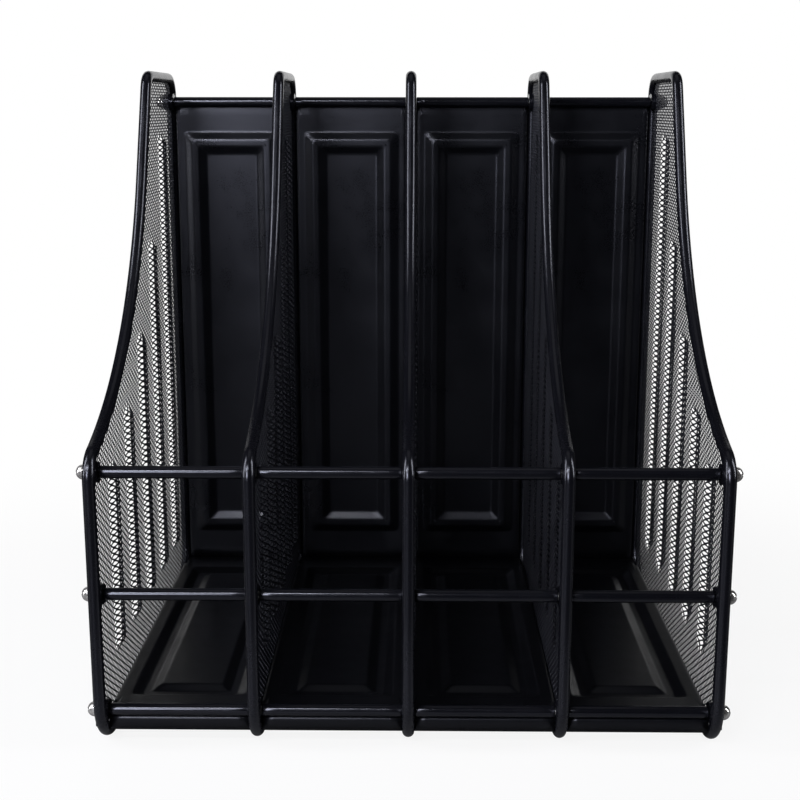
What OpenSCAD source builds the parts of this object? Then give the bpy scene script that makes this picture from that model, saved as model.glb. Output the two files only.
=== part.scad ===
// Desktop file sorter: upright mesh panels, joined by cross rods, with a stamped
// back sheet and a stamped floor tray in each compartment.
// Millimetres. +Z is up, the open front faces -Y, and the origin is on the desk
// in the middle of the sorter.

/* [Overall] */
// Number of compartments side by side
compartments = 4; // [2:1:6]
// Distance between the centre planes of neighbouring panels
pitch = 74; // [64:1:100]
// Depth of a panel, between the centre lines of its front and back wires
panel_depth = 250; // [236:1:280]
// Overall height of a panel
panel_height = 324; // [300:1:340]
// Diameter of the frame wire and of the cross rods
wire_d = 6; // [5:0.5:7]

/* [Panel outline] */
// Height where the upright front and the start of the sweep would meet
shoulder_height = 144; // [120:1:150]
// Rise of the sweep where it leaves the shoulder, in degrees
shoulder_slope = 15; // [5:1:20]
// Lean of the straight upper front run, in degrees from upright
upper_lean = 24; // [18:1:28]
// Length of the level top run, corner to corner
top_run = 76; // [60:1:90]
// Bend radius at the shoulder
shoulder_r = 13; // [10:1:16]
// Bend radius at the front of the top
top_front_r = 10; // [8:1:14]
// Bend radius at the back of the top
top_back_r = 12; // [8:1:14]
// Bend radius at both feet
foot_r = 22; // [16:1:26]

/* [Mesh] */
// Thickness of the mesh sheet
mesh_t = 0.5; // [0.3:0.1:0.8]
// Number of pressed ribs
ribs = 5; // [3:1:6]
// Distance of the first rib from the front wire
first_rib = 46; // [40:1:50]
// Width of a rib
rib_w = 13; // [8:1:16]
// Height of a rib above the sheet
rib_h = 2.5; // [1.5:0.5:3]
// Height of the lower end of the ribs
rib_foot = 35; // [30:1:45]
// Distance of the rib tops from the wire of the sweep
rib_margin = 28; // [20:1:35]

/* [Cross rods] */
// Height of the middle front rods
middle_rod_z = 77; // [60:1:90]
// Drop of the upper front rods below the shoulder height
upper_rod_drop = 7; // [7:1:30]
// Drop of the top back rods below the top of the panel
top_rod_drop = 17; // [15:0.5:22]
// Diameter of a lug
lug_d = 10; // [8:0.5:10]
// Diameter of the studs and screws
stud_d = 4; // [3:0.5:4]

/* [Sheets] */
// Thickness of the back sheets and floor trays
sheet_t = 0.8; // [0.6:0.1:1]
// Height of the floor above the desk
floor_z = 15; // [13:0.5:15]
// Depth of the stamped bead
bead_h = 2.5; // [1.5:0.5:3]
// Width of each slope of the bead
bead_slope = 4.5; // [3:0.5:5]
// Width of the flat top of the bead
bead_flat = 4; // [3:0.5:5]
// Width of the plain field inside the bead
field_w = 31; // [20:1:32]

/* [Screws] */
// Diameter of a screw head
head_d = 7.5; // [7:0.5:9]
// Height of a screw head
head_h = 5; // [4:0.5:6]

/* [Hidden] */
panels = compartments + 1;
wire_r = wire_d / 2;
lug_r = lug_d / 2;
front_y = -panel_depth / 2;
back_y = panel_depth / 2;
$fn = 48;

black = [0.06, 0.06, 0.07];
mesh_black = [0.12, 0.12, 0.13];
nickel = [0.75, 0.74, 0.72];

// Names
function panel_name(i) =
    i == 0 ? "left_side" : i == panels - 1 ? "right_side" : str("divider_", i);
rod_rows = ["lower_front_rod", "middle_front_rod", "upper_front_rod", "top_back_rod"];

// Centre plane of panel i, and middle of compartment i counted from 1
function panel_x(i) = (i - compartments / 2) * pitch;
function compartment_x(i) = (panel_x(i - 1) + panel_x(i)) / 2;

// ---- Outline of a panel ----
// The wire's centre line is a closed list of corners [y, z, bend radius], going
// round from the front foot. The sweep's bend starts where the shoulder's ends.
top_z = panel_height - wire_r;
front_top_y = back_y - top_run;
sweep_y = let (rise = tan(shoulder_slope), lean = tan(upper_lean))
    (front_top_y - front_y - (top_z - shoulder_height) * lean) / (1 - rise * lean) + front_y;
sweep_z = shoulder_height + (sweep_y - front_y) * tan(shoulder_slope);
shoulder_turn = 90 - shoulder_slope;
sweep_turn = 90 - shoulder_slope - upper_lean;
sweep_tangent = (sweep_y - front_y) / cos(shoulder_slope) - shoulder_r * tan(shoulder_turn / 2);
sweep_r = sweep_tangent / tan(sweep_turn / 2);

outline = [
    [front_y, wire_r, foot_r],
    [front_y, shoulder_height, shoulder_r],
    [sweep_y, sweep_z, sweep_r],
    [front_top_y, top_z, top_front_r],
    [back_y, top_z, top_back_r],
    [back_y, wire_r, foot_r]
];

function corner(i) = outline[(i + len(outline)) % len(outline)];
function corner_yz(i) = [corner(i)[0], corner(i)[1]];
function heading(i) = let (run = corner_yz(i + 1) - corner_yz(i)) run / norm(run);
function left_of(v) = [-v[1], v[0]];
// +1 where the wire turns left at corner i, -1 where it turns right
function turn_side(i) = sign(left_of(heading(i - 1)) * heading(i));
function turn_angle(i) = acos(heading(i - 1) * heading(i));
function tangent(i) = corner(i)[2] * tan(turn_angle(i) / 2);
function bend_start(i) = corner_yz(i) - heading(i - 1) * tangent(i);
function bend_end(i) = corner_yz(i) + heading(i) * tangent(i);
function bend_centre(i) =
    bend_start(i) + left_of(heading(i - 1)) * turn_side(i) * corner(i)[2];
function direction(v) = atan2(v[1], v[0]);
shortest_run = 0.01;
function follows_bend(i) = norm(bend_start(i) - bend_end(i - 1)) < shortest_run;

// Outline moved inwards, with its bends as short chords that never reach the wire
bend_chords = 8;
sweep_chords = 24;
function inset_bend(i, inset) =
    let (
        side = turn_side(i),
        chords = side > 0 ? sweep_chords : bend_chords,
        half_chord = turn_angle(i) / chords / 2,
        r = (corner(i)[2] + side * inset) / (side > 0 ? cos(half_chord) : 1),
        from = direction(bend_start(i) - bend_centre(i))
    )
    [for (k = [follows_bend(i) ? 1 : 0 : chords]) let (a = from + side * 2 * half_chord * k)
        bend_centre(i) + r * [cos(a), sin(a)]];
function inset_outline(inset) =
    [for (i = [0 : len(outline) - 1]) each inset_bend(i, inset)];

// ---- Rod positions ----
// A lug touches the inside of its wire: the upright run, or above it the shoulder
lug_inset = wire_r + lug_r;
shoulder_centre = bend_centre(1);
function front_rod_y(z) =
    shoulder_centre[0] - (z < shoulder_centre[1]
        ? shoulder_r - lug_inset
        : sqrt(pow(shoulder_r - lug_inset, 2) - pow(z - shoulder_centre[1], 2)));

// Rod centres as [y, z], in the order of rod_rows. The lower rods rest on the trays.
lower_rod_z = floor_z + wire_r;
upper_rod_z = shoulder_height - upper_rod_drop;
rod_centres = [
    [front_rod_y(lower_rod_z), lower_rod_z],
    [front_rod_y(middle_rod_z), middle_rod_z],
    [front_rod_y(upper_rod_z), upper_rod_z],
    [back_y - lug_inset, panel_height - top_rod_drop]
];

// Turns a shape drawn in y and z, with its thickness along local z, to stand upright
module upright() rotate([90, 0, 90]) children();

// ---- Panel parts ----
// Every bend is a hair thicker than the wire, and its neighbours run a little way
// into it, so that the pieces of the loop join cleanly
lap = 0.2;
swell = 0.02;
module straight_wire(from, to) {
    run = to - from;
    translate(from)
        rotate(direction(run))
            translate([-lap, 0, 0])
                rotate([0, 90, 0])
                    cylinder(d = wire_d, h = norm(run) + 2 * lap);
}

module wire_bend(i) {
    side = turn_side(i);
    joined = follows_bend(i);
    extra = joined ? lap / corner(i)[2] * 180 / PI : 0;
    translate(bend_centre(i))
        rotate(direction(bend_start(i) - bend_centre(i)))
            mirror([0, side > 0 ? 0 : 1, 0])
                rotate(-extra)
                    rotate_extrude(angle = turn_angle(i) + extra)
                        translate([corner(i)[2], 0])
                            circle(d = wire_d + (joined ? 1 : 2) * swell);
}

module wire_loop()
    upright()
        for (i = [0 : len(outline) - 1]) {
            wire_bend(i);
            if (!follows_bend(i + 1)) straight_wire(bend_end(i), bend_start(i + 1));
        }

module frame(i) color(black) translate([panel_x(i), 0, 0]) wire_loop();

// A rib is a round bulge on the right-hand side of the sheet
rib_r = (pow(rib_w / 2, 2) + pow(rib_h, 2)) / (2 * rib_h);
last_rib = panel_depth - first_rib + 3;
rib_step = (last_rib - first_rib) / (ribs - 1);

// Ribs stop at the same distance from the sweep and from the top wire
sweep_centre = bend_centre(2);
function rib_top(y) =
    min(top_z - rib_margin,
        sweep_centre[1] - sqrt(max(0, pow(sweep_r + rib_margin, 2) - pow(y - sweep_centre[0], 2))));

module rib(y) {
    top = rib_top(y);
    intersection() {
        translate([rib_h - rib_r, y, rib_foot]) cylinder(r = rib_r, h = top - rib_foot);
        translate([0, y - rib_w, rib_foot]) cube([rib_r, 2 * rib_w, top - rib_foot]);
    }
}

// The mesh is cut back a little from the lugs
mesh_trim = 0.5;

module mesh_sheet(i)
    color(mesh_black)
        translate([panel_x(i), 0, 0]) {
            upright()
                linear_extrude(height = mesh_t, center = true)
                    difference() {
                        polygon(inset_outline(wire_r));
                        for (c = rod_centres) translate(c) circle(r = lug_r + mesh_trim);
                    }
            for (k = [0 : ribs - 1]) rib(front_y + first_rib + k * rib_step);
        }

stud_clearance = 0.4;

// Round bosses welded inside the wire, drilled for the studs
module lugs(i)
    color(black)
        translate([panel_x(i), 0, 0])
            for (c = rod_centres)
                translate([0, c[0], c[1]])
                    rotate([0, 90, 0])
                        difference() {
                            cylinder(d = lug_d, h = wire_d, center = true);
                            cylinder(d = stud_d + stud_clearance, h = 2 * wire_d, center = true);
                        }

// ---- Cross rods and fasteners ----
rod_length = pitch - wire_d;
thread_depth = 10;
stud_grip = 8;
thread_clearance = 0.1;

module cross_rod(row, i)
    color(black)
        translate([compartment_x(i), rod_centres[row][0], rod_centres[row][1]])
            rotate([0, 90, 0])
                difference() {
                    cylinder(d = wire_d, h = rod_length, center = true);
                    for (side = [-1, 1])
                        translate([0, 0, side * rod_length / 2])
                            cylinder(d = stud_d + thread_clearance, h = 2 * thread_depth, center = true);
                }

// One headless stud through each divider, screwed into the rods on both sides
module joining_studs()
    color(nickel)
        for (c = rod_centres, i = [1 : compartments - 1])
            translate([panel_x(i), c[0], c[1]])
                rotate([0, 90, 0])
                    cylinder(d = stud_d, h = wire_d + 2 * stud_grip, center = true);

recess_w = 1.1;
recess_l = 4;
recess_depth = 2;
rim_h = 1.2;

// Domed head standing on z = 0, with a cross recess, and its shank below
module dome_screw() {
    dome_h = head_h - rim_h;
    dome_r = (pow(head_d / 2, 2) + pow(dome_h, 2)) / (2 * dome_h);
    difference() {
        union() {
            cylinder(d = head_d, h = rim_h);
            intersection() {
                translate([0, 0, head_h - dome_r]) sphere(r = dome_r);
                translate([0, 0, rim_h]) cylinder(d = head_d, h = dome_h);
            }
        }
        for (turn = [0, 90])
            rotate(turn)
                translate([-recess_l / 2, -recess_w / 2, head_h - recess_depth])
                    cube([recess_l, recess_w, head_h]);
    }
    translate([0, 0, -wire_d - stud_grip]) cylinder(d = stud_d, h = wire_d + stud_grip);
}

module end_screws()
    color(nickel)
        for (c = rod_centres, side = [-1, 1])
            translate([side * (panel_x(panels - 1) + wire_r), c[0], c[1]])
                rotate([0, side * 90, 0])
                    dome_screw();

// ---- Stamped sheets ----
// Block between two centred rectangles of size [x, y], one at z0 and one h above it
module frustum(low, high, z0, h) {
    reach = max(low[0], low[1], high[0], high[1]) + 1;
    intersection() {
        rotate([90, 0, 0])
            linear_extrude(height = reach, center = true)
                polygon([[-low[0] / 2, z0], [low[0] / 2, z0], [high[0] / 2, z0 + h], [-high[0] / 2, z0 + h]]);
        rotate([90, 0, 90])
            linear_extrude(height = reach, center = true)
                polygon([[-low[1] / 2, z0], [low[1] / 2, z0], [high[1] / 2, z0 + h], [-high[1] / 2, z0 + h]]);
    }
}

function grown(size, by) = [size[0] + 2 * by, size[1] + 2 * by];

// Everything under the top of the bead that runs round a field of the given size
module bead_block(field, z0)
    difference() {
        frustum(grown(field, 2 * bead_slope + bead_flat), grown(field, bead_slope + bead_flat), z0, bead_h);
        frustum(field, grown(field, bead_slope), z0, bead_h);
    }

// Flat sheet of the given size on z = 0, with a bead raised round a field at `at`
module stamped_plate(size, field, at)
    difference() {
        union() {
            translate([-size[0] / 2, 0, 0]) cube([size[0], size[1], sheet_t]);
            translate([0, at, 0]) bead_block(field, sheet_t);
        }
        translate([0, at, 0]) bead_block(field, 0);
    }

bead_w = 2 * bead_slope + bead_flat;

// Back sheet: its front face touches the top rod and ends just below the rod's top,
// and flanges run back from its sides and top, between the back wires
back_face_y = rod_centres[3][0] + wire_r;
back_foot_z = floor_z - sheet_t;
back_top_z = rod_centres[3][1] + wire_r - 1;
back_w = pitch - wire_d;
back_flange_depth = 5;
back_bead_margin = 18;

module back_sheet(i) {
    height = back_top_z - back_foot_z;
    bead_low = floor_z + back_bead_margin;
    bead_high = rod_centres[3][1] - back_bead_margin;
    field = [field_w, bead_high - bead_low - 2 * bead_w];
    color(black)
        translate([compartment_x(i), back_face_y + sheet_t, back_foot_z])
            rotate([90, 0, 0]) {
                stamped_plate([back_w, height], field, (bead_low + bead_high) / 2 - back_foot_z);
                for (x = [-back_w / 2, back_w / 2 - sheet_t])
                    translate([x, 0, -back_flange_depth]) cube([sheet_t, height, back_flange_depth]);
                translate([-back_w / 2, height - sheet_t, -back_flange_depth])
                    cube([back_w, sheet_t, back_flange_depth]);
            }
}

// Floor tray: its side flanges stand on the bottom wires, and its corners are
// notched round the lugs and the feet of the frames
tray_front_y = front_y + 6.5;
tray_gap = 0.7;
tray_w = pitch - 2 * tray_gap;
tray_foot_z = wire_r + sqrt(pow(wire_r, 2) - pow(tray_gap, 2));
notched_w = pitch - wire_d - 1.2;
notch_l = 10;
hem = 7;
flange_clearance = 2;
front_bead_margin = 25;
rear_bead_margin = 21;

module floor_tray(i) {
    length = back_face_y - tray_front_y;
    middle_y = (tray_front_y + back_face_y) / 2;
    field = [field_w, length - front_bead_margin - rear_bead_margin - 2 * bead_w];
    side_l = panel_depth - 2 * (foot_r + flange_clearance);
    color(black)
        translate([compartment_x(i), 0, floor_z]) {
            difference() {
                translate([0, tray_front_y, 0])
                    mirror([0, 0, 1])
                        stamped_plate([tray_w, length], field,
                                      (length + front_bead_margin - rear_bead_margin) / 2);
                for (x = [-1, 1], y = [-1, 1])
                    translate([x * (notched_w + pitch) / 2, middle_y + y * length / 2, 0])
                        cube([pitch, 2 * notch_l, 4 * sheet_t], center = true);
            }
            for (y = [tray_front_y, back_face_y - sheet_t])
                translate([-notched_w / 2, y, -hem]) cube([notched_w, sheet_t, hem]);
            for (x = [-tray_w / 2, tray_w / 2 - sheet_t])
                translate([x, -side_l / 2, tray_foot_z - floor_z])
                    cube([sheet_t, side_l, floor_z - tray_foot_z]);
        }
}

for (i = [0 : panels - 1]) {
    frame(i);
    mesh_sheet(i);
    lugs(i);
}
for (i = [1 : compartments]) {
    back_sheet(i);
    floor_tray(i);
    for (row = [0 : len(rod_rows) - 1])
        cross_rod(row, i);
}
joining_studs();
end_screws();
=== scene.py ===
"""Looks of the desktop file sorter: bent wire, expanded mesh, stamped sheets, bars and screws.

Shapes are worked out in millimetres in the CAD's frame and turned into metres on the way out.
"""

import math

import bpy
import numpy as np
from mathutils import Matrix, Vector


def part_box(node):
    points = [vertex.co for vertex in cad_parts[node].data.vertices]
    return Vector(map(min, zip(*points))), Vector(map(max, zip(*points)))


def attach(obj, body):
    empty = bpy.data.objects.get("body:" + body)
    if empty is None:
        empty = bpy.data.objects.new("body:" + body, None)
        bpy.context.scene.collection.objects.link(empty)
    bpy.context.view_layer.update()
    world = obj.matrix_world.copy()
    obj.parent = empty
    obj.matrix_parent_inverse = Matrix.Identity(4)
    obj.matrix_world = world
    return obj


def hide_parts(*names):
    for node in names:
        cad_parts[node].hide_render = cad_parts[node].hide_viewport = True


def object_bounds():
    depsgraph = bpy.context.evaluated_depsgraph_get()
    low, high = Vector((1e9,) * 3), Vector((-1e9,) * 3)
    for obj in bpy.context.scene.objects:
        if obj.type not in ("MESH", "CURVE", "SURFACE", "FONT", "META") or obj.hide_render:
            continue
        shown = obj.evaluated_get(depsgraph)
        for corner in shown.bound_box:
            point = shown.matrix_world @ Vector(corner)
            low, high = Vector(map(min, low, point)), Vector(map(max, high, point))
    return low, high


MM = 0.001
BODY = "root"

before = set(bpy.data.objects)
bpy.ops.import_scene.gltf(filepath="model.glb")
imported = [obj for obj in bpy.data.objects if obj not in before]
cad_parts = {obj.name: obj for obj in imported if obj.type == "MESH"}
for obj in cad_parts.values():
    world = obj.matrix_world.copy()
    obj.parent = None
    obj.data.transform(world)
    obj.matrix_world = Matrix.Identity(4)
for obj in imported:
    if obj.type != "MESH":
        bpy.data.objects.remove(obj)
cad_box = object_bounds()


# ---------------------------------------------------------------- places taken from the frame
def node_box(node):
    """Lowest and highest corner of a CAD node, in millimetres."""
    low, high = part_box(node)
    return np.array(low) / MM, np.array(high) / MM


def node_centre(node):
    low, high = node_box(node)
    return (low + high) / 2


PANELS = ["left_side", "divider_1", "divider_2", "divider_3", "right_side"]
COMPARTMENTS = range(1, len(PANELS))
ROD_ROWS = ["lower_front_rod", "middle_front_rod", "upper_front_rod", "top_back_rod"]

panel_x = [node_centre(p + "_frame")[0] for p in PANELS]
frame_low, frame_high = node_box("left_side_frame")
wire_r = round((frame_high[0] - frame_low[0]) / 2, 1)
front_y = round(frame_low[1] + wire_r)
back_y = round(frame_high[1] - wire_r)
top_z = round(frame_high[2] - wire_r)
rod_low, rod_high = node_box("upper_front_rod_1")
rod_r = (rod_high[2] - rod_low[2]) / 2
rod_half = (rod_high[0] - rod_low[0]) / 2
rod_yz = [node_centre(row + "_1")[1:] for row in ROD_ROWS]

# Corners of the frame wire as (y, z, bend radius). The sweep's own corner follows from these.
FOOT_R = 22.0
FRONT_FOOT = (front_y, wire_r, FOOT_R)
SHOULDER = (front_y, 144.0, 13.0)
TOP_FRONT = (back_y - 76.0, top_z, 10.0)
TOP_BACK = (back_y, top_z, 12.0)
BACK_FOOT = (back_y, wire_r, FOOT_R)
SHOULDER_SLOPE = math.radians(15)
UPPER_LEAN = math.radians(24)


# ---------------------------------------------------------------- mesh building
def make_object(name, shape, material, smooth=True):
    """A new piece from a shape, given as (points in millimetres, faces) or as a mesh made before."""
    data = shape
    if not isinstance(shape, bpy.types.Mesh):
        verts, faces = shape
        data = bpy.data.meshes.new(name)
        data.from_pydata((np.asarray(verts) * MM).tolist(), [], faces)
        data.polygons.foreach_set("use_smooth", [smooth] * len(data.polygons))
        data.materials.append(material)
        data.update()
    obj = bpy.data.objects.new(name, data)
    bpy.context.scene.collection.objects.link(obj)
    return obj


def adopt(obj, slot, *nodes):
    """The piece rides with the sorter and stands for its CAD nodes."""
    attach(obj, BODY)
    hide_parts(*nodes)
    return obj


def place(obj, x, y, z):
    obj.location = Vector((x, y, z)) * MM
    return obj


def outline_corners():
    """Corners from the front foot up and over the top. The sweep's bend starts where the shoulder's ends."""
    fy, fz, shoulder_r = SHOULDER
    rise, lean = math.tan(SHOULDER_SLOPE), math.tan(UPPER_LEAN)
    run = (TOP_FRONT[0] - fy - (TOP_FRONT[1] - fz) * lean) / (1 - rise * lean)
    shoulder_tangent = shoulder_r * math.tan((math.pi / 2 - SHOULDER_SLOPE) / 2)
    half_turn = (math.pi / 2 - SHOULDER_SLOPE - UPPER_LEAN) / 2
    sweep_r = (run / math.cos(SHOULDER_SLOPE) - shoulder_tangent) / math.tan(half_turn)
    return [FRONT_FOOT, SHOULDER, (fy + run, fz + run * rise, sweep_r), TOP_FRONT, TOP_BACK, BACK_FOOT]


def rounded_loop(corners, chord=2.0, straight=12.0):
    """Closed list of (y, z) points along the outline, close together in the bends."""
    points = []
    count = len(corners)
    for i, (y, z, radius) in enumerate(corners):
        here = np.array([y, z])
        before = np.array(corners[i - 1][:2])
        after = np.array(corners[(i + 1) % count][:2])
        come = (here - before) / np.linalg.norm(here - before)
        leave = (after - here) / np.linalg.norm(after - here)
        turn = math.atan2(come[0] * leave[1] - come[1] * leave[0], come @ leave)
        side = math.copysign(1, turn)
        start = here - come * radius * math.tan(abs(turn) / 2)
        centre = start + np.array([-come[1], come[0]]) * side * radius
        spoke = start - centre
        steps = max(6, math.ceil(abs(turn) * radius / chord))
        for k in range(steps + 1):
            a = turn * k / steps
            points.append(centre + [spoke[0] * math.cos(a) - spoke[1] * math.sin(a),
                                    spoke[0] * math.sin(a) + spoke[1] * math.cos(a)])
    dense = []
    for p, q in zip(points, points[1:] + points[:1]):
        gap = np.linalg.norm(q - p)
        if gap < 1e-3:
            continue
        parts = max(1, round(gap / straight))
        dense += [p + (q - p) * k / parts for k in range(parts)]
    return np.array(dense)


LOOP = rounded_loop(outline_corners())


def loop_distance(points):
    """Signed distance of (y, z) points to the wire's centre line, positive inside the panel."""
    a, b = LOOP, np.roll(LOOP, -1, axis=0)
    best = np.full(len(points), np.inf)
    inside = np.zeros(len(points), bool)
    for p, q in zip(a, b):
        d = q - p
        t = np.clip(((points - p) @ d) / (d @ d), 0, 1)
        best = np.minimum(best, np.linalg.norm(points - (p + t[:, None] * d), axis=1))
        crosses = (p[1] > points[:, 1]) != (q[1] > points[:, 1])
        if crosses.any():
            y = p[0] + (points[:, 1] - p[1]) * (q[0] - p[0]) / (q[1] - p[1] if q[1] != p[1] else 1)
            inside ^= crosses & (points[:, 0] < y)
    return np.where(inside, best, -best)


# ---------------------------------------------------------------- materials
def powder_coat(name, base, roughness, grain_scale, bump, shine=0.5):
    """Semi-gloss black powder coat: orange peel, cloudy sheen, fine dust and paler rubbed edges.

    Grain_scale is the fineness of the orange peel, bump its strength, and shine the level of reflection.
    """
    mat = bpy.data.materials.new(name)
    mat.use_nodes = True
    nodes, links = mat.node_tree.nodes, mat.node_tree.links
    bsdf = nodes["Principled BSDF"]
    place_at = nodes.new("ShaderNodeTexCoord").outputs["Object"]

    def noise(scale, detail, rough=0.5):
        node = nodes.new("ShaderNodeTexNoise")
        node.inputs["Scale"].default_value = scale
        node.inputs["Detail"].default_value = detail
        node.inputs["Roughness"].default_value = rough
        links.new(place_at, node.inputs["Vector"])
        return node.outputs["Fac"]

    def remap(value, low, high, to_low, to_high):
        node = nodes.new("ShaderNodeMapRange")
        node.clamp = True
        for key, number in zip(("From Min", "From Max", "To Min", "To Max"), (low, high, to_low, to_high)):
            node.inputs[key].default_value = number
        links.new(value, node.inputs["Value"])
        return node.outputs["Result"]

    def math_node(kind, a, b):
        node = nodes.new("ShaderNodeMath")
        node.operation = kind
        for socket, value in zip(node.inputs, (a, b)):
            if isinstance(value, (int, float)):
                socket.default_value = value
            else:
                links.new(value, socket)
        return node.outputs[0]

    cloud = noise(38.0, 3.0)
    peel = noise(grain_scale, 2.0, 0.55)
    dust = remap(noise(2600.0, 1.0), 0.70, 0.80, 0.0, 1.0)

    edge = nodes.new("ShaderNodeNewGeometry").outputs["Pointiness"]
    rubbed = math_node("MULTIPLY", remap(edge, 0.515, 0.60, 0.0, 1.0), remap(cloud, 0.35, 0.65, 0.2, 1.0))

    tint = nodes.new("ShaderNodeMix")
    tint.data_type = "RGBA"
    tint.inputs["A"].default_value = (*base, 1)
    tint.inputs["B"].default_value = (*[min(1, c * 3.2 + 0.012) for c in base], 1)
    links.new(math_node("ADD", math_node("MULTIPLY", rubbed, 0.45), math_node("MULTIPLY", dust, 0.25)),
              tint.inputs["Factor"])
    links.new(tint.outputs["Result"], bsdf.inputs["Base Color"])

    sheen = remap(cloud, 0.3, 0.7, roughness - 0.05, roughness + 0.06)
    fine = remap(peel, 0.3, 0.7, -0.03, 0.03)
    links.new(math_node("ADD", math_node("ADD", sheen, fine), math_node("MULTIPLY", dust, 0.2)),
              bsdf.inputs["Roughness"])
    bsdf.inputs["Specular IOR Level"].default_value = shine
    bsdf.inputs["Specular Tint"].default_value = (0.84, 0.86, 1.0, 1)
    bsdf.inputs["Coat Weight"].default_value = 0.12
    bsdf.inputs["Coat Roughness"].default_value = 0.18

    relief = nodes.new("ShaderNodeBump")
    relief.inputs["Strength"].default_value = bump
    relief.inputs["Distance"].default_value = 0.0002
    links.new(peel, relief.inputs["Height"])
    links.new(relief.outputs["Normal"], bsdf.inputs["Normal"])
    return mat


def plated_steel(name, base, roughness):
    """Bright nickel plate with small smudges."""
    mat = bpy.data.materials.new(name)
    mat.use_nodes = True
    nodes, links = mat.node_tree.nodes, mat.node_tree.links
    bsdf = nodes["Principled BSDF"]
    place_at = nodes.new("ShaderNodeTexCoord").outputs["Object"]
    bsdf.inputs["Metallic"].default_value = 0.8
    smudge = nodes.new("ShaderNodeTexNoise")
    smudge.inputs["Scale"].default_value = 420.0
    smudge.inputs["Detail"].default_value = 4.0
    links.new(place_at, smudge.inputs["Vector"])
    ramp = nodes.new("ShaderNodeMapRange")
    ramp.inputs["From Min"].default_value = 0.35
    ramp.inputs["From Max"].default_value = 0.7
    ramp.inputs["To Min"].default_value = roughness
    ramp.inputs["To Max"].default_value = roughness + 0.14
    links.new(smudge.outputs["Fac"], ramp.inputs["Value"])
    links.new(ramp.outputs["Result"], bsdf.inputs["Roughness"])
    tone = nodes.new("ShaderNodeMix")
    tone.data_type = "RGBA"
    tone.inputs["A"].default_value = (*base, 1)
    tone.inputs["B"].default_value = (*[c * 0.8 for c in base], 1)
    links.new(smudge.outputs["Fac"], tone.inputs["Factor"])
    links.new(tone.outputs["Result"], bsdf.inputs["Base Color"])
    return mat


COAT = (0.0034, 0.0035, 0.0052)
wire_coat = powder_coat("wire_coat", COAT, 0.24, 1500.0, 0.06)
bar_coat = powder_coat("bar_coat", COAT, 0.18, 1500.0, 0.025)
# The back sheets and floor trays have the same black coat as the wires; their darker base colours are painted
# shade for the inside of the compartments
shaded_sheet_coat = powder_coat("shaded_sheet_coat", (0.0012, 0.0013, 0.0021), 0.32, 1300.0, 0.12)
shaded_tray_coat = powder_coat("shaded_tray_coat", (0.0009, 0.0010, 0.0016), 0.34, 1300.0, 0.12, shine=0.3)
mesh_coat = powder_coat("mesh_coat", COAT, 0.36, 1800.0, 0.05)
nickel = plated_steel("nickel_plate", (0.78, 0.76, 0.73), 0.12)
zinc = plated_steel("zinc_plate", (0.62, 0.61, 0.59), 0.28)


# ---------------------------------------------------------------- frame wires
def tube_loop(path, radius, sides=28):
    """Closed tube round a loop of (y, z) points in the plane x = 0."""
    count = len(path)
    along = np.roll(path, -1, axis=0) - np.roll(path, 1, axis=0)
    along /= np.linalg.norm(along, axis=1)[:, None]
    out = np.stack([-along[:, 1], along[:, 0]], axis=1)
    angle = 2 * math.pi * np.arange(sides) / sides
    verts = np.zeros((count, sides, 3))
    verts[:, :, 0] = radius * np.cos(angle)
    verts[:, :, 1:] = path[:, None, :] + out[:, None, :] * (radius * np.sin(angle))[None, :, None]
    faces = []
    for i in range(count):
        j = (i + 1) % count
        for k in range(sides):
            m = (k + 1) % sides
            faces.append((i * sides + k, i * sides + m, j * sides + m, j * sides + k))
    return verts.reshape(-1, 3), faces


wire_shape = tube_loop(LOOP, wire_r)
for name, x in zip(PANELS, panel_x):
    wire = make_object(name + "_wire", wire_shape, wire_coat)
    wire_shape = wire.data
    adopt(place(wire, x, 0, 0), "wire_frame", name + "_frame")


# ---------------------------------------------------------------- expanded mesh
# Distance between the centres of the openings, along and across them
LONG_WAY, SHORT_WAY = 5.1, 3.25
# Width of the strands, length of the joints between them and thickness of the sheet they are cut from
STRAND = 0.85
BOND = 0.9
MESH_T = 0.55
# The pressed ribs' width, height, length of their run-outs and height of their lower ends
RIB_W, RIB_H = 16.0, 3.6
RIB_END = 6.0
RIB_FOOT = 34.0
# Least distance of an opening's centre from the wire's centre line, and from a rod's
EDGE_GAP, LUG_GAP = 0.9, 4.6
# Each rib as (distance behind the front wire, height of its top)
RIBS = [(46.0, 132.0), (86.3, 152.0), (126.5, 184.0), (166.8, 231.0), (207.0, 289.0)]


def smooth_step(t):
    t = np.clip(t, 0, 1)
    return t * t * (3 - 2 * t)


def rib_height(y, z):
    """How far the pressed ribs carry the mesh out of its plane."""
    out = np.zeros_like(y)
    for rib_y, top in RIBS:
        across = np.abs(y - front_y - rib_y) / (RIB_W / 2)
        crown = 0.5 + 0.5 * np.cos(math.pi * np.clip(across, 0, 1))
        ends = smooth_step((z - RIB_FOOT) / RIB_END) * smooth_step((top - z) / RIB_END)
        out += RIB_H * crown * ends
    return out


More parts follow.
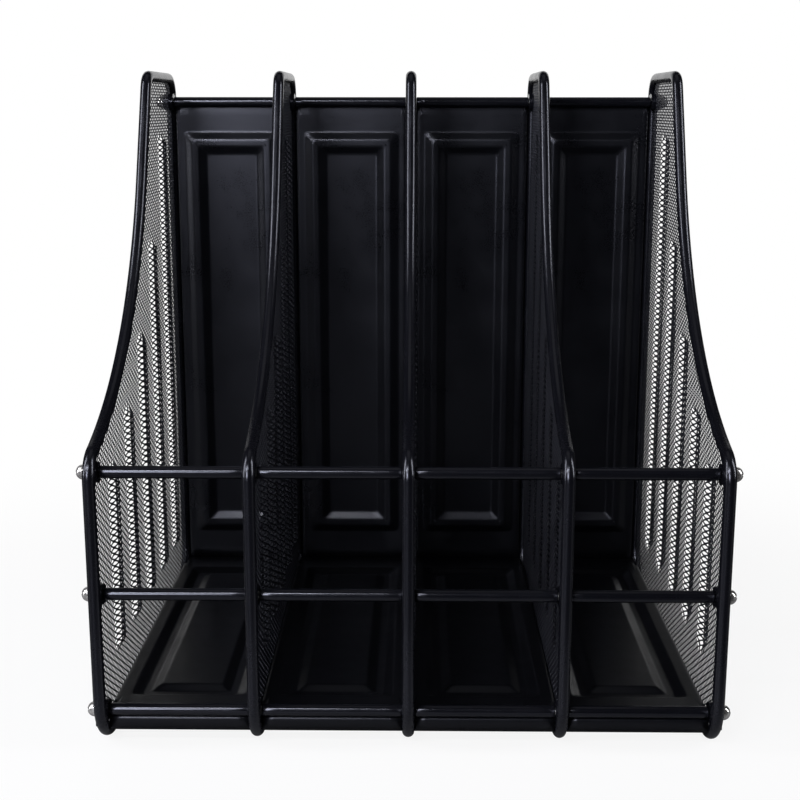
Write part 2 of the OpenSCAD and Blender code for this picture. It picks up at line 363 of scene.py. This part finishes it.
def expanded_mesh():
    """Diamond openings between rounded strands, cut off inside the frame wire."""
    half_l, half_s = LONG_WAY / 2, SHORT_WAY / 2
    y0, z0 = LOOP.min(axis=0)
    y1, z1 = LOOP.max(axis=0)
    cols = np.arange(math.ceil((y1 - y0) / half_l) + 1)
    rows = np.arange(math.ceil((z1 - z0) / half_s) + 1)
    column, row = np.meshgrid(cols, rows, indexing="ij")
    column, row = column.ravel(), row.ravel()
    keep = (column + row) % 2 == 0
    column, row = column[keep], row[keep]
    centres = np.stack([y0 + column * half_l, z0 + row * half_s], axis=1)
    keep = loop_distance(centres) > EDGE_GAP
    for y, z in rod_yz:
        keep &= np.linalg.norm(centres - [y, z], axis=1) > LUG_GAP
    column, row, centres = column[keep], row[keep], centres[keep]

    shrink = 1 - STRAND / 2 / (half_l * half_s / math.hypot(half_l, half_s))
    tip = half_l * shrink
    flat_z = half_s * shrink * (1 - BOND / 2 / tip)
    hole = np.array([(-tip, 0), (-BOND / 2, flat_z), (BOND / 2, flat_z),
                     (tip, 0), (BOND / 2, -flat_z), (-BOND / 2, -flat_z)])

    corner_ids, corner_yz = {}, []

    def corner(i, j):
        key = (i, j)
        if key not in corner_ids:
            corner_ids[key] = len(corner_yz)
            corner_yz.append((y0 + i * half_l, z0 + j * half_s))
        return corner_ids[key]

    cells = [(corner(i - 1, j), corner(i, j + 1), corner(i + 1, j), corner(i, j - 1))
             for i, j in zip(column.tolist(), row.tolist())]
    corner_yz = np.array(corner_yz)
    count = len(corner_yz)
    hole_yz = (centres[:, None, :] + hole[None]).reshape(-1, 2)

    yz = np.concatenate([corner_yz, corner_yz, hole_yz])
    x = rib_height(yz[:, 0], yz[:, 1])
    x[:count] += MESH_T / 2
    x[count:2 * count] -= MESH_T / 2
    verts = np.column_stack([x, yz])

    faces = []
    for n, (left, top, right, bottom) in enumerate(cells):
        h = 2 * count + 6 * n
        ring = ((left, top, h + 1, h), (top, h + 2, h + 1), (top, right, h + 3, h + 2),
                (right, bottom, h + 4, h + 3), (bottom, h + 5, h + 4), (bottom, left, h, h + 5))
        for face in ring:
            faces.append(face[::-1])
            faces.append(tuple(v if v >= 2 * count else v + count for v in face))
    return verts, faces


mesh_shape = expanded_mesh()
for name, x in zip(PANELS, panel_x):
    sheet = make_object(name + "_diamond_mesh", mesh_shape, mesh_coat)
    mesh_shape = sheet.data
    adopt(place(sheet, x, 0, 0), "expanded_mesh", name + "_mesh")


# ---------------------------------------------------------------- lugs
LUG_R = 5.0
LUG_T = 2.8
LUG_FILLET = 2.4
LUG_BEVEL = 0.7
# Where the fillets meet the wire, as a share of its radius
LUG_ROOT = 0.6
FILLET_STEPS, NOSE_STEPS = 8, 24


def lug_outline(reach):
    """A round-ended tab as (distance from the wire's centre line, height) points, bottom to top."""
    foot = wire_r * LUG_ROOT + LUG_FILLET
    rise = math.sqrt(max(1e-6, (LUG_R + LUG_FILLET) ** 2 - (reach - foot) ** 2))
    end = math.atan2(rise, reach - foot)
    fillet = []
    for k in range(FILLET_STEPS + 1):
        a = math.pi + (end - math.pi) * (k / FILLET_STEPS)
        fillet.append((foot + LUG_FILLET * math.cos(a), -rise + LUG_FILLET * math.sin(a)))
    lower = math.atan2(-rise, foot - reach)
    nose = []
    for k in range(1, NOSE_STEPS):
        a = lower + (-2 * lower) * k / NOSE_STEPS
        nose.append((reach + LUG_R * math.cos(a), LUG_R * math.sin(a)))
    return fillet + nose + [(p, -q) for p, q in reversed(fillet)]


def prism(outline, half_thickness):
    """Flat plate from an outline of (y, z) points, twice half_thickness thick along x."""
    n = len(outline)
    verts = [(-half_thickness, y, z) for y, z in outline] + [(half_thickness, y, z) for y, z in outline]
    faces = [tuple(range(n)), tuple(range(2 * n - 1, n - 1, -1))]
    faces += [(i, i + n, (i + 1) % n + n, (i + 1) % n) for i in range(n)]
    return verts, faces


def add_bevel(obj, width, segments=2, angle=35):
    mod = obj.modifiers.new("edges", "BEVEL")
    mod.width = width * MM
    mod.segments = segments
    mod.limit_method = "ANGLE"
    mod.angle_limit = math.radians(angle)
    mod.harden_normals = True


def lug_mesh():
    verts, faces = [], []
    for y, z in rod_yz:
        side, wire_y = (1, front_y) if y < 0 else (-1, back_y)
        outline = [(wire_y + side * p, z + q) for p, q in lug_outline(abs(y - wire_y))]
        v, f = prism(outline, LUG_T)
        f = [tuple(reversed(face)) for face in f] if side < 0 else f
        faces += [tuple(i + len(verts) for i in face) for face in f]
        verts += v
    return verts, faces


lug_shape = lug_mesh()
for name, x in zip(PANELS, panel_x):
    tabs = make_object(name + "_lug_tabs", lug_shape, wire_coat)
    lug_shape = tabs.data
    add_bevel(tabs, LUG_BEVEL)
    adopt(place(tabs, x, 0, 0), "lug", name + "_lugs")


# ---------------------------------------------------------------- rods and screws
def lathe(profile, sides=32):
    """Closed solid turned about local z from (radius, z) points. The first and last lie on the axis."""
    verts = [(0, 0, profile[0][1])]
    for r, z in profile[1:-1]:
        verts += [(r * math.cos(2 * math.pi * k / sides), r * math.sin(2 * math.pi * k / sides), z)
                  for k in range(sides)]
    verts.append((0, 0, profile[-1][1]))
    rings = len(profile) - 2
    faces = [(0, 1 + (k + 1) % sides, 1 + k) for k in range(sides)]
    for i in range(rings - 1):
        for k in range(sides):
            a, b = 1 + i * sides, 1 + (i + 1) * sides
            m = (k + 1) % sides
            faces.append((a + k, a + m, b + m, b + k))
    last = 1 + (rings - 1) * sides
    faces += [(len(verts) - 1, last + k, last + (k + 1) % sides) for k in range(sides)]
    return np.array(verts, float), faces


def along_x(verts, side=1):
    """Turns local z to point along +x or -x."""
    v = np.asarray(verts)
    return np.column_stack([side * v[:, 2], v[:, 1], -side * v[:, 0]])


CHAMFER = 0.45
# A rod's profile as (radius, place along the rod): one end, points between the ends, the other end
rod_profile = [(0, -rod_half), (rod_r - CHAMFER, -rod_half), (rod_r - 0.1, -rod_half + CHAMFER * 0.6),
               (rod_r, -rod_half + CHAMFER * 1.4)]
rod_profile += [(rod_r, -rod_half + rod_half * 2 * t) for t in (0.1, 0.3, 0.5, 0.7, 0.9)]
rod_profile += [(r, -z) for r, z in rod_profile[3::-1]]
verts, faces = lathe(rod_profile)
rod_shape = along_x(verts), faces
for row, (y, z) in zip(ROD_ROWS, rod_yz):
    for i in COMPARTMENTS:
        node = f"{row}_{i}"
        rod = make_object(node + "_bar", rod_shape, bar_coat)
        rod_shape = rod.data
        adopt(place(rod, node_centre(node)[0], y, z), "cross_rod", node)


def screw_head(radius, height):
    """Domed head with a cross recess, standing on local z = 0, on a fine polar grid."""
    rim = 1.1
    rings, sides = 26, 64
    dome = height - rim
    sphere = (radius ** 2 + dome ** 2) / (2 * dome)
    # The recess: length and half width of its arms, depth, width of its walls and how much it shallows
    arm, half_w, depth = 2.1, 0.62, 1.7
    side_wall, end_wall, shallowing = 0.25, 0.5, 0.35
    verts = [(0, 0, height - depth)]
    for i in range(1, rings + 1):
        r = radius * i / rings
        for k in range(sides):
            a = 2 * math.pi * k / sides
            x, y = r * math.cos(a), r * math.sin(a)
            z = rim + math.sqrt(sphere ** 2 - r ** 2) - (sphere - dome)
            across, reach = min(abs(x), abs(y)), max(abs(x), abs(y))
            wall = min((half_w - across) / side_wall, (arm - reach) / end_wall, 1.0)
            if wall > 0:
                z -= depth * wall * (1 - shallowing * reach / arm)
            verts.append((x, y, z))
    for r, z in ((radius + 0.05, rim - 0.15), (radius + 0.05, 0.25), (radius - 0.15, 0.0)):
        verts += [(r * math.cos(2 * math.pi * k / sides), r * math.sin(2 * math.pi * k / sides), z)
                  for k in range(sides)]
    faces = [(0, 1 + k, 1 + (k + 1) % sides) for k in range(sides)]
    for i in range(rings + 2):
        a, b = 1 + i * sides, 1 + (i + 1) * sides
        faces += [(a + k, b + k, b + (k + 1) % sides, a + (k + 1) % sides) for k in range(sides)]
    last = 1 + (rings + 2) * sides
    faces.append(tuple(last + k for k in reversed(range(sides))))
    return np.array(verts), faces


screw_high = node_box("end_screws")[1]
head_h = screw_high[0] - panel_x[-1] - wire_r
head_r = 3.7
# Turn of each recess in degrees: of the first one, and more for each row and side, so that they differ
SPIN, SPIN_PER_ROW, SPIN_PER_SIDE = 17, 37, 11
verts, faces = [], []
for side, x in ((-1, panel_x[0] - wire_r), (1, panel_x[-1] + wire_r)):
    for n, (y, z) in enumerate(rod_yz):
        v, f = screw_head(head_r, head_h)
        spin = math.radians(SPIN + SPIN_PER_ROW * n + SPIN_PER_SIDE * side)
        v = np.column_stack([v[:, 0] * math.cos(spin) - v[:, 1] * math.sin(spin),
                             v[:, 0] * math.sin(spin) + v[:, 1] * math.cos(spin), v[:, 2]])
        base = len(verts)
        verts += (along_x(v, side) + [x, y, z]).tolist()
        faces += [tuple(i + base for i in face) for face in f]
heads = make_object("end_screw_heads", (verts, faces), nickel)
adopt(heads, "screw", "end_screws")
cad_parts["joining_studs"].data.materials.clear()
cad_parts["joining_studs"].data.materials.append(zinc)


# ---------------------------------------------------------------- stamped sheets
BEAD_H = 2.5
BEAD_SLOPE, BEAD_FLAT = 4.6, 4.0
BEAD_W = 2 * BEAD_SLOPE + BEAD_FLAT
# Width that a crease is rounded over, and how far its rounding reaches past the bead
CREASE_W, CREASE_REACH = 1.1, 1.6
# Number of points across the bead, and of samples used to round it and in half the rounding's width
PROFILE_POINTS, FINE_POINTS, KERNEL_HALF = 49, 801, 80
# Flat margins beside the bead, in millimetres, for the rounding to run out on
FINE_MARGIN, FLAT_MARGIN = 6, 9
SHEET_T = 0.8
CORNER_POINTS = 6
# Corner radii of the bead's inner and outer halves, and of the sheet itself
INNER_R, OUTER_R, EDGE_R = 1.8, 3.0, 0.05
LONG_STEPS, SHORT_STEPS = 40, 12


def bead_profile():
    """Offsets from the field's edge and heights across the bead, with its creases rounded."""
    marks = [(0, 0), (BEAD_SLOPE, BEAD_H), (BEAD_SLOPE + BEAD_FLAT, BEAD_H), (BEAD_W, 0)]
    offsets = np.linspace(-CREASE_REACH, BEAD_W + CREASE_REACH, PROFILE_POINTS)
    xs, zs = zip(*([(-FLAT_MARGIN, 0)] + marks + [(BEAD_W + FLAT_MARGIN, 0)]))
    fine = np.linspace(-FINE_MARGIN, BEAD_W + FINE_MARGIN, FINE_POINTS)
    height = np.interp(fine, xs, zs)
    steps = np.arange(-KERNEL_HALF, KERNEL_HALF + 1) * (fine[1] - fine[0])
    kernel = np.exp(-0.5 * (steps / (CREASE_W / 2)) ** 2)
    height = np.convolve(height, kernel / kernel.sum(), mode="same")
    return offsets, np.interp(offsets, fine, height)


def round_rect(half_a, half_b, radius):
    """Points round a rectangle with rounded corners, the same number whatever its size."""
    radius = min(radius, half_a * 0.99, half_b * 0.99)
    points = []
    for q, (sa, sb) in enumerate(((1, 1), (-1, 1), (-1, -1), (1, -1))):
        ca, cb = sa * (half_a - radius), sb * (half_b - radius)
        for k in range(CORNER_POINTS):
            a = math.radians(90 * q + 90 * k / (CORNER_POINTS - 1))
            points.append((ca + radius * math.cos(a), cb + radius * math.sin(a)))
        na, nb = ((-1, 1), (-1, -1), (1, -1), (1, 1))[q]
        end = (na * (half_a - radius), nb * (half_b - radius))
        steps = SHORT_STEPS if q % 2 == 0 else LONG_STEPS
        first = points[-1]
        a = math.radians(90 * (q + 1))
        last = (end[0] + radius * math.cos(a), end[1] + radius * math.sin(a))
        points += [(first[0] + (last[0] - first[0]) * k / steps,
                    first[1] + (last[1] - first[1]) * k / steps) for k in range(1, steps)]
    return points


def stamped_sheet(half_w, length, field, field_mid):
    """Flat sheet with a rounded bead. Returns points as (across, along, out), faces and its edge loop.

    Across runs -half_w..half_w and along runs 0..length. The bead's field is centred at field_mid.
    """
    verts, faces, rings = [], [], []
    for d, h in zip(*bead_profile()):
        ring = round_rect(field[0] / 2 + d, field[1] / 2 + d, INNER_R if d < BEAD_W / 2 else OUTER_R)
        rings.append([(a, b + field_mid, h) for a, b in ring])
    # A ring inside the field, with one flat face inside that
    inner = [(a * 0.5, (b - field_mid) * 0.9 + field_mid, 0.0) for a, b, _ in rings[0]]
    rings.insert(0, inner)
    edge = round_rect(half_w, length / 2, EDGE_R)
    outer = [(a, b + length / 2, 0.0) for a, b in edge]
    rings.append([tuple((np.array(p) + np.array(q)) / 2) for p, q in zip(rings[-1], outer)])
    rings.append(outer)
    count = len(outer)
    for ring in rings:
        verts += ring
    for i in range(len(rings) - 1):
        a, b = i * count, (i + 1) * count
        faces += [(a + k, b + k, b + (k + 1) % count, a + (k + 1) % count) for k in range(count)]
    faces.append(tuple(range(count)))
    return verts, faces, [len(verts) - count + k for k in range(count)]


def bend_strip(verts, faces, edge, outward, down, radius, flange, steps=6):
    """Bends a flange down along part of an edge, given as vertex numbers in order."""
    previous = edge
    outward, down = np.array(outward, float), np.array(down, float)
    stops = [(radius * math.sin(a), radius * (1 - math.cos(a)))
             for a in np.linspace(0, math.pi / 2, steps + 1)[1:]]
    stops.append((radius, radius + flange))
    for out, low in stops:
        row = []
        for v in edge:
            row.append(len(verts))
            verts.append(tuple(np.array(verts[v]) + outward * out + down * low))
        for a in range(len(edge) - 1):
            faces.append((previous[a], row[a], row[a + 1], previous[a + 1]))
        previous = row


def edge_run(verts, loop, axis, value, low, high):
    """Vertices of the edge loop on one straight side, in order along it."""
    other = 1 - axis
    found = {round(verts[v][other], 3): v for v in loop
             if abs(verts[v][axis] - value) < 1e-6 and low <= verts[v][other] <= high}
    return [found[k] for k in sorted(found)]


def add_thickness(obj):
    """Thickens a sheet away from its drawn face."""
    mod = obj.modifiers.new("thickness", "SOLIDIFY")
    mod.thickness = SHEET_T * MM
    mod.offset = -1


FIELD_W = 31.0
back_low, back_high = node_box("back_sheet_1")
tray_low, tray_high = node_box("floor_tray_1")
floor_z = tray_high[2]
back_half = (back_high[0] - back_low[0]) / 2
back_face = tray_high[1]
back_top = back_high[2]
# The foot laps a little way behind the tray's rear hem, so that its rounded bend leaves no slot
BACK_LAP = 2.6
back_foot = back_low[2] - BACK_LAP
top_rod_z = rod_yz[3][1]
BACK_BEAD_MARGIN = 18.0
BACK_FLANGE = 5.8
BEND_R = 1.8
# A bend stops this far from the sheet's corners
CORNER_GAP = 0.04


def back_sheet_mesh():
    length = back_top - BEND_R - back_foot
    low, high = floor_z + BACK_BEAD_MARGIN, top_rod_z - BACK_BEAD_MARGIN
    field = (FIELD_W, high - low - 2 * BEAD_W)
    half = back_half - BEND_R
    verts, faces, loop = stamped_sheet(half, length, field, (low + high) / 2 - back_foot)
    flange = BACK_FLANGE - BEND_R
    for side in (-1, 1):
        run = edge_run(verts, loop, 0, side * half, CORNER_GAP, length - CORNER_GAP)
        bend_strip(verts, faces, run if side > 0 else run[::-1], (side, 0, 0), (0, 0, -1), BEND_R, flange)
    run = edge_run(verts, loop, 1, length, CORNER_GAP - half, half - CORNER_GAP)
    bend_strip(verts, faces, run[::-1], (0, 1, 0), (0, 0, -1), BEND_R, flange)
    placed = [(a, back_face - out, back_foot + b) for a, b, out in verts]
    return placed, faces


back_shape = back_sheet_mesh()
for i in COMPARTMENTS:
    node = f"back_sheet_{i}"
    sheet = make_object(node + "_stamped", back_shape, shaded_sheet_coat)
    back_shape = sheet.data
    add_thickness(sheet)
    adopt(place(sheet, node_centre(node)[0], 0, 0), "back_sheet", node)


tray_front = tray_low[1]
tray_half = (tray_high[0] - tray_low[0]) / 2
# Half width of the tray between its corner notches, length of a notch and height of the end hems
NOTCHED_HALF = 34.1
NOTCH = 10.0
HEM = 7.0
FRONT_BEAD_MARGIN, REAR_BEAD_MARGIN = 25.0, 21.0


def floor_tray_mesh():
    length = back_face - tray_front - 2 * BEND_R
    field = (FIELD_W, back_face - tray_front - FRONT_BEAD_MARGIN - REAR_BEAD_MARGIN - 2 * BEAD_W)
    mid = (back_face - tray_front + FRONT_BEAD_MARGIN - REAR_BEAD_MARGIN) / 2 - BEND_R
    half = NOTCHED_HALF
    verts, faces, loop = stamped_sheet(half, length, field, mid)
    verts = [(a, b, -out) for a, b, out in verts]
    for side in (-1, 1):
        run = edge_run(verts, loop, 0, side * half, NOTCH - BEND_R, length - NOTCH + BEND_R)
        flat = []
        for v in run:
            flat.append(len(verts))
            verts.append((side * (tray_half - BEND_R), verts[v][1], 0.0))
        for a in range(len(run) - 1):
            quad = (run[a], flat[a], flat[a + 1], run[a + 1])
            faces.append(quad if side > 0 else quad[::-1])
        bend_strip(verts, faces, flat if side > 0 else flat[::-1], (side, 0, 0), (0, 0, -1), BEND_R,
                   floor_z - tray_low[2] - BEND_R)
    for end, out in ((0, -1), (length, 1)):
        run = edge_run(verts, loop, 1, end, CORNER_GAP - half, half - CORNER_GAP)
        bend_strip(verts, faces, run if out < 0 else run[::-1], (0, out, 0), (0, 0, -1), BEND_R, HEM - BEND_R)
    placed = [(a, tray_front + BEND_R + b, floor_z + h) for a, b, h in verts]
    return placed, faces


tray_shape = floor_tray_mesh()
for i in COMPARTMENTS:
    node = f"floor_tray_{i}"
    sheet = make_object(node + "_stamped", tray_shape, shaded_tray_coat)
    tray_shape = sheet.data
    add_thickness(sheet)
    adopt(place(sheet, node_centre(node)[0], 0, 0), "floor_tray", node)


# ---------------------------------------------------------------- stage, lights and camera
def plain_material(name, colour, roughness):
    mat = bpy.data.materials.new(name)
    mat.use_nodes = True
    bsdf = mat.node_tree.nodes["Principled BSDF"]
    bsdf.inputs["Base Color"].default_value = (*colour, 1)
    bsdf.inputs["Roughness"].default_value = roughness
    return mat


# Distances in metres between which the floor fades to white for the camera
FADE_NEAR, FADE_FAR = 0.20, 0.55
# Least share of plain white on the floor that the camera sees
WHITE_SHARE = 0.88
# Grey that other rays see near the sorter and from DARK_FROM metres onwards
NEAR_GREY, FAR_GREY, DARK_FROM = 0.22, 0.02, 0.32


def fade_to_white(mat):
    """Lets the floor turn into plain white away from the sorter, as the camera sees it.

    Reflections and bounced light see it in grey instead, which gets darker away from the sorter.
    """
    nodes, links = mat.node_tree.nodes, mat.node_tree.links
    place_at = nodes.new("ShaderNodeTexCoord").outputs["Object"]
    reach = nodes.new("ShaderNodeVectorMath")
    reach.operation = "LENGTH"
    links.new(place_at, reach.inputs[0])
    fade = nodes.new("ShaderNodeMapRange")
    fade.interpolation_type = "SMOOTHSTEP"
    fade.inputs["From Min"].default_value = FADE_NEAR
    fade.inputs["From Max"].default_value = FADE_FAR
    fade.inputs["To Min"].default_value = WHITE_SHARE
    links.new(reach.outputs["Value"], fade.inputs["Value"])
    ray = nodes.new("ShaderNodeLightPath")
    amount = nodes.new("ShaderNodeMath")
    amount.operation = "MULTIPLY"
    links.new(fade.outputs["Result"], amount.inputs[0])
    links.new(ray.outputs["Is Camera Ray"], amount.inputs[1])
    white = nodes.new("ShaderNodeEmission")
    white.inputs["Strength"].default_value = 1.0
    tone = nodes.new("ShaderNodeMix")
    tone.data_type = "RGBA"
    dim = nodes.new("ShaderNodeMapRange")
    dim.interpolation_type = "SMOOTHSTEP"
    dim.inputs["From Min"].default_value = FADE_NEAR
    dim.inputs["From Max"].default_value = DARK_FROM
    dim.inputs["To Min"].default_value = NEAR_GREY
    dim.inputs["To Max"].default_value = FAR_GREY
    links.new(reach.outputs["Value"], dim.inputs["Value"])
    links.new(dim.outputs["Result"], tone.inputs["A"])
    tone.inputs["B"].default_value = nodes["Principled BSDF"].inputs["Base Color"].default_value
    links.new(ray.outputs["Is Camera Ray"], tone.inputs["Factor"])
    links.new(tone.outputs["Result"], nodes["Principled BSDF"].inputs["Base Color"])
    blend = nodes.new("ShaderNodeMixShader")
    links.new(amount.outputs[0], blend.inputs["Fac"])
    links.new(nodes["Principled BSDF"].outputs["BSDF"], blend.inputs[1])
    links.new(white.outputs["Emission"], blend.inputs[2])
    links.new(blend.outputs["Shader"], nodes["Material Output"].inputs["Surface"])
    return mat


# Half the side of the floor, in millimetres
FLOOR = 6000
pale = fade_to_white(plain_material("pale_floor", (0.88, 0.88, 0.89), 0.6))
floor_corners = [(-FLOOR, -FLOOR, 0), (FLOOR, -FLOOR, 0), (FLOOR, FLOOR, 0), (-FLOOR, FLOOR, 0)]
floor = make_object("studio_floor", (floor_corners, [(0, 1, 2, 3)]), pale, smooth=False)
place(floor, 0, 0, cad_box[0][2] / MM)

# Strength of the backdrop for everything but the camera
BACKDROP_GLOW = 0.005
world = bpy.data.worlds.new("studio")
bpy.context.scene.world = world
world.use_nodes = True
world_nodes, world_links = world.node_tree.nodes, world.node_tree.links
bpy.context.scene.view_settings.view_transform = "Standard"
backdrop = world_nodes["Background"]
seen = world_nodes.new("ShaderNodeBackground")
seen.inputs["Color"].default_value = (1, 1, 1, 1)
seen.inputs["Strength"].default_value = 1.0
backdrop.inputs["Color"].default_value = (0.93, 0.95, 1, 1)
backdrop.inputs["Strength"].default_value = BACKDROP_GLOW
ray = world_nodes.new("ShaderNodeLightPath")
mix = world_nodes.new("ShaderNodeMixShader")
world_links.new(ray.outputs["Is Camera Ray"], mix.inputs["Fac"])
world_links.new(backdrop.outputs["Background"], mix.inputs[1])
world_links.new(seen.outputs["Background"], mix.inputs[2])
world_links.new(mix.outputs["Shader"], world_nodes["World Output"].inputs["Surface"])


def softbox(name, at, target, size, watts, colour):
    light = bpy.data.lights.new(name, "AREA")
    light.shape = "RECTANGLE"
    light.size, light.size_y = size
    light.energy = watts
    light.color = colour
    obj = bpy.data.objects.new(name, light)
    bpy.context.scene.collection.objects.link(obj)
    obj.location = at
    obj.rotation_euler = (Vector(target) - Vector(at)).to_track_quat("-Z", "Y").to_euler()


# Each light as name, place and target in metres, size in metres, watts and colour
SOFTBOXES = [
    ("strip", (-0.75, -1.0, 0.93), (-0.75, 0, 0.15), (1.3, 0.085), 12.0, (0.94, 0.95, 1.0)),
    ("key", (-1.35, -0.30, 0.80), (0, 0, 0.25), (0.30, 1.40), 13.0, (0.94, 0.95, 1.0)),
    ("left", (-0.60, -1.50, 0.66), (0, 0, 0.25), (0.5, 0.5), 12.0, (0.88, 0.90, 1.0)),
    ("right", (1.35, -0.25, 0.85), (0, 0, 0.25), (0.24, 1.20), 10.0, (0.96, 0.97, 1.0)),
    ("top", (0.0, 0.1, 1.9), (0, 0, 0.1), (1.2, 1.2), 0.9, (1, 1, 1)),
    ("behind", (0, 1.9, 0.75), (0, 0, 0.2), (2.6, 1.3), 10.0, (1, 1, 1)),
]
for box in SOFTBOXES:
    softbox(*box)


def camera_matrix(at, pitch, yaw, roll):
    """Camera at a point in metres, turned left by yaw, down by pitch, then rolled, in degrees."""
    t, p, r = (math.radians(a) for a in (pitch, yaw, roll))
    right = Vector((math.cos(p), math.sin(p), 0))
    ahead = Vector((-math.sin(p) * math.cos(t), math.cos(p) * math.cos(t), -math.sin(t)))
    up = right.cross(ahead)
    right, up = right * math.cos(r) + up * math.sin(r), up * math.cos(r) - right * math.sin(r)
    rows = [(right[k], up[k], -ahead[k], at[k]) for k in range(3)]
    return Matrix(rows + [(0, 0, 0, 1)])


CAMERA_AT = (0.00357, -0.72436, 0.30436)
PITCH, YAW, ROLL = 12.277, 0.718, 0.032
FOCAL_MM, SENSOR_MM = 60.68, 36.0
lens = bpy.data.cameras.new("camera")
lens.sensor_width = SENSOR_MM
lens.lens = FOCAL_MM
camera = bpy.data.objects.new("camera", lens)
bpy.context.scene.collection.objects.link(camera)
camera.matrix_world = camera_matrix(CAMERA_AT, PITCH, YAW, ROLL)
bpy.context.scene.camera = camera
